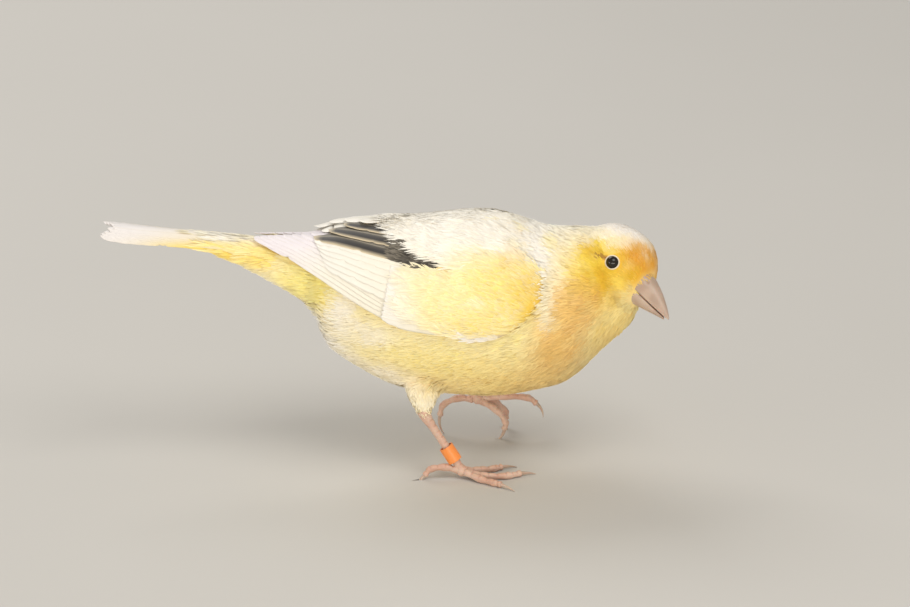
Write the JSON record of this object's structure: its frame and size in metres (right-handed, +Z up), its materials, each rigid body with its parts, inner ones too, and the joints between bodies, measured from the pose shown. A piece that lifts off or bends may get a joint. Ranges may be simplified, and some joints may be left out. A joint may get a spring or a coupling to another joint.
{
  "type": "canary",
  "caption": "Life-size still canary standing with its head turned, folded wings, straight tail and a plain leg ring.",
  "frame": {"origin": "on the floor, under the middle of the whole bird's box", "axes": "+X the way the body faces, +Y the bird's left, +Z up"},
  "size_m": [0.1204, 0.0381, 0.0558],
  "materials": {
    "plumage": "soft body feathers, yellow to cream",
    "flight_feather": "flight and tail feathers, cream white with dark inner feathers",
    "horn": "satin flesh-coloured bill and claws",
    "leg_skin": "scaled pink skin",
    "eye": "wet black",
    "ring_plastic": "plain orange, satin"
  },
  "bodies": {
    "root": {"torso": "plumage", "neck": "plumage", "head": "plumage", "thigh_right": "plumage", "thigh_left": "plumage", "tail": "flight_feather", "wing_right": "flight_feather", "wing_left": "flight_feather", "beak_upper": "horn", "beak_lower": "horn", "eye_right": "eye", "eye_left": "eye", "shank_right": "leg_skin", "shank_left": "leg_skin", "foot_right": "leg_skin", "foot_left": "leg_skin", "claw_right_hind": "horn", "claw_right_inner": "horn", "claw_right_middle": "horn", "claw_right_outer": "horn", "claw_left_hind": "horn", "claw_left_inner": "horn", "claw_left_middle": "horn", "claw_left_outer": "horn", "leg_ring": "ring_plastic"}
  },
  "joints": []
}
